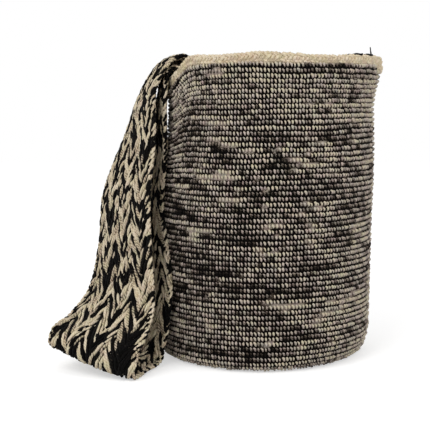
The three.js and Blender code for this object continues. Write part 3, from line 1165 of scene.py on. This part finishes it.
class MochilaEdging(bpy.types.PropertyGroup):
    """Yarn of the edging"""

    yarn_radius: bpy.props.FloatProperty(
        name="Yarn Radius", description="Radius of one loop", default=1.5 * MM, unit="LENGTH")
    colour: bpy.props.FloatVectorProperty(
        name="Colour", description="Colour of the yarn", default=linear(EDGING_ECRU), size=4, subtype="COLOR")


class MochilaStrap(bpy.types.PropertyGroup):
    """Strands of the strap"""

    strand_radius: bpy.props.FloatProperty(
        name="Strand Radius", description="Radius of one strand", default=1.3 * MM, unit="LENGTH")
    dark: bpy.props.FloatVectorProperty(
        name="Dark", description="Colour of dark strands", default=linear(BLACK_SHEEN), size=4,
        subtype="COLOR")
    light: bpy.props.FloatVectorProperty(
        name="Light", description="Colour of ecru strands", default=linear(ECRU), size=4, subtype="COLOR")


class MochilaThread(bpy.types.PropertyGroup):
    """Sewing thread"""

    thread_radius: bpy.props.FloatProperty(
        name="Thread Radius", description="Radius of the thread", unit="LENGTH",
        default=THREAD_RADIUS_SHARE * THREAD_DIAMETER)
    colour: bpy.props.FloatVectorProperty(
        name="Colour", description="Colour of the thread", default=linear(THREAD_BLACK), size=4,
        subtype="COLOR")


class MochilaStage(bpy.types.PropertyGroup):
    """Light and floor"""

    floor_size: bpy.props.FloatProperty(
        name="Floor Size", description="Width of the floor", default=6.0, unit="LENGTH")
    key_watts: bpy.props.FloatProperty(
        name="Key Light", description="Power of the main lamp", default=15.0, unit="POWER")
    fill: bpy.props.FloatProperty(
        name="Fill", description="Strength of the light from all round", default=0.62)


class MOCHILA_OT_body(bpy.types.Operator):
    """Make the crocheted body, its ground cloth and its stitches"""

    bl_idname = "mochila.body"
    bl_label = "Crocheted Body"

    def execute(self, context):
        sizes = context.scene.mochila_body
        wool = once("marled_wool", marled_wool, sizes)
        ground = body_ground_piece("body_ground", wool)
        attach(ground, "root")
        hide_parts("bag_body")
        middle = lerp(FLAT_LENGTH, CLOTH_LENGTH, 0.36)
        high = lerp(FLAT_LENGTH, CLOTH_LENGTH, 0.68)
        bands = {
            "body_stitches_base": (0, FLAT_LENGTH),
            "body_stitches_low": (FLAT_LENGTH, middle),
            "body_stitches_middle": (middle, high),
            "body_stitches_high": (high, CLOTH_LENGTH + EDGING_HEIGHT),
        }
        for name, (start, end) in bands.items():
            piece = yarn_piece(name, body_strands(start, end), sizes.yarn_radius, sizes.sides, wool)
            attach(piece, "root")
        return {"FINISHED"}


class MOCHILA_OT_edging(bpy.types.Operator):
    """Make the ecru edging round the mouth"""

    bl_idname = "mochila.edging"
    bl_label = "Mouth Edging"

    def execute(self, context):
        sizes = context.scene.mochila_edging
        wool = once("ecru_wool", ecru_wool, sizes)
        ground = edging_ground("edging_ground", wool)
        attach(ground, "root")
        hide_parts("mouth_edging")
        loops = yarn_piece("edging_loops", edging_strands(), sizes.yarn_radius, YARN_SIDES, wool)
        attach(loops, "root")
        return {"FINISHED"}


class MOCHILA_OT_strap(bpy.types.Operator):
    """Make the strap's ground, its strands on both faces and its edges"""

    bl_idname = "mochila.strap"
    bl_label = "Woven Strap"

    def execute(self, context):
        sizes = context.scene.mochila_strap
        wool = once("strap_wool", strap_wool, sizes)
        route = StrapRoute(ROUTE)
        ground = strap_ground_piece("strap_ground", route, wool)
        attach(ground, "root")
        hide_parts("strap")
        faces = {
            "strap_strands_front": strap_strands(route, 1),
            "strap_strands_back": strap_strands(route, -1),
            "strap_edges": strap_edge_strands(route),
        }
        for name, paths in faces.items():
            piece = yarn_piece(name, paths, sizes.strand_radius, YARN_SIDES, wool)
            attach(piece, "root")
        return {"FINISHED"}


class MOCHILA_OT_thread(bpy.types.Operator):
    """Make the black sewing thread"""

    bl_idname = "mochila.thread"
    bl_label = "Sewing Thread"

    def execute(self, context):
        sizes = context.scene.mochila_thread
        thread = once("black_thread", black_thread, sizes)
        route = StrapRoute(ROUTE)
        first, second = END_STITCH_ROWS
        threads = {
            "rim_stitches": (rim_stitch_points(), 150),
            "left_end_stitches": (end_stitch_points(route, first, second), 90),
            "right_end_stitches": (end_stitch_points(route, 1 - first, 1 - second), 90),
        }
        for node, (points, steps) in threads.items():
            strands = [thread_strand(points, steps)]
            piece = yarn_piece(node + "_thread", strands, sizes.thread_radius, THREAD_SIDES, thread)
            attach(piece, "root")
            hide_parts(node)
        return {"FINISHED"}


def stage_material():
    """Matt white studio paper, which the camera sees as white around the bag's own shadow."""
    material = bpy.data.materials.new("studio_paper")
    tree = empty_tree(material)
    paper = add_node(tree, "ShaderNodeBsdfDiffuse", {"Color": linear(PAPER)})
    path = add_node(tree, "ShaderNodeLightPath")
    lift = math_result(tree, "MULTIPLY", path.outputs["Is Camera Ray"], 0.5)
    glow = add_node(tree, "ShaderNodeEmission", {"Color": WHITE, "Strength": lift})
    shader = add_node(tree, "ShaderNodeAddShader", {0: paper.outputs["BSDF"], 1: glow.outputs["Emission"]})
    add_node(tree, "ShaderNodeOutputMaterial", {"Surface": shader.outputs["Shader"]})
    return material


def add_lamp(name, place, aim, size, watts):
    lamp = bpy.data.lights.new(name, "AREA")
    lamp.shape = "DISK"
    lamp.size = size
    lamp.energy = watts
    holder = placed(name, lamp)
    holder.location = place
    holder.rotation_euler = (Vector(aim) - Vector(place)).to_track_quat("-Z", "Y").to_euler()


class MOCHILA_OT_stage(bpy.types.Operator):
    """Make the floor, the lamps and the camera"""

    bl_idname = "mochila.stage"
    bl_label = "Stage"

    def execute(self, context):
        sizes = context.scene.mochila_stage
        half = sizes.floor_size / 2
        corners = [(-half, -half, 0), (half, -half, 0), (half, half, 0), (-half, half, 0)]
        floor = mesh_object("floor", corners, [(0, 1, 2, 3)])
        floor.data.materials.append(stage_material())
        side_watts = SIDE_LAMP_SHARE * sizes.key_watts
        add_lamp("key_lamp", KEY_LAMP_PLACE, LIT_POINT, KEY_LAMP_SIZE, sizes.key_watts)
        add_lamp("side_lamp", SIDE_LAMP_PLACE, LIT_POINT, SIDE_LAMP_SIZE, side_watts)
        world = bpy.data.worlds.new("studio")
        tree = empty_tree(world)
        path = add_node(tree, "ShaderNodeLightPath")
        seen = math_result(tree, "MAXIMUM", path.outputs["Is Camera Ray"], path.outputs["Is Glossy Ray"])
        seen = math_result(tree, "MAXIMUM", seen, path.outputs["Is Transmission Ray"])
        light = add_node(tree, "ShaderNodeBackground", {"Color": WHITE, "Strength": sizes.fill})
        backdrop = add_node(tree, "ShaderNodeBackground", {"Color": WHITE, "Strength": 1.0})
        mixed = add_node(
            tree, "ShaderNodeMixShader",
            {0: seen, 1: light.outputs["Background"], 2: backdrop.outputs["Background"]})
        add_node(tree, "ShaderNodeOutputWorld", {"Surface": mixed.outputs["Shader"]})
        context.scene.world = world
        camera = bpy.data.cameras.new("camera")
        camera.sensor_width = SENSOR_WIDTH
        camera.lens = SENSOR_WIDTH * FOCAL_PIXELS / FRAME_PIXELS
        camera.clip_start = 0.05
        holder = placed("camera", camera)
        holder.location = CAMERA_PLACE
        holder.rotation_euler = (math.radians(90 - CAMERA_PITCH), 0, 0)
        context.scene.camera = holder
        context.scene.view_settings.view_transform = "Standard"
        return {"FINISHED"}


class MOCHILA_PT_panel(bpy.types.Panel):
    """Lists the mochila's parts"""

    bl_idname = "MOCHILA_PT_panel"
    bl_label = "Mochila"
    bl_space_type = "VIEW_3D"
    bl_region_type = "UI"
    bl_category = "Mochila"

    def draw(self, context):
        for group in SETTINGS:
            settings = getattr(context.scene, group)
            for name in settings.__annotations__:
                self.layout.prop(settings, name)
        for operator in OPERATORS:
            self.layout.operator(operator.bl_idname)


SETTINGS = {
    "mochila_body": MochilaBody,
    "mochila_edging": MochilaEdging,
    "mochila_strap": MochilaStrap,
    "mochila_thread": MochilaThread,
    "mochila_stage": MochilaStage,
}
OPERATORS = (MOCHILA_OT_body, MOCHILA_OT_edging, MOCHILA_OT_strap, MOCHILA_OT_thread, MOCHILA_OT_stage)


def register():
    for name, settings in SETTINGS.items():
        bpy.utils.register_class(settings)
        setattr(bpy.types.Scene, name, bpy.props.PointerProperty(type=settings))
    for operator in OPERATORS:
        bpy.utils.register_class(operator)
    bpy.utils.register_class(MOCHILA_PT_panel)


def unregister():
    bpy.utils.unregister_class(MOCHILA_PT_panel)
    for operator in reversed(OPERATORS):
        bpy.utils.unregister_class(operator)
    for name, settings in reversed(SETTINGS.items()):
        delattr(bpy.types.Scene, name)
        bpy.utils.unregister_class(settings)


def main():
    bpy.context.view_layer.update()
    register()
    bpy.ops.mochila.body()
    bpy.ops.mochila.edging()
    bpy.ops.mochila.strap()
    bpy.ops.mochila.thread()
    bpy.ops.mochila.stage()


if __name__ == "__main__":
    main()
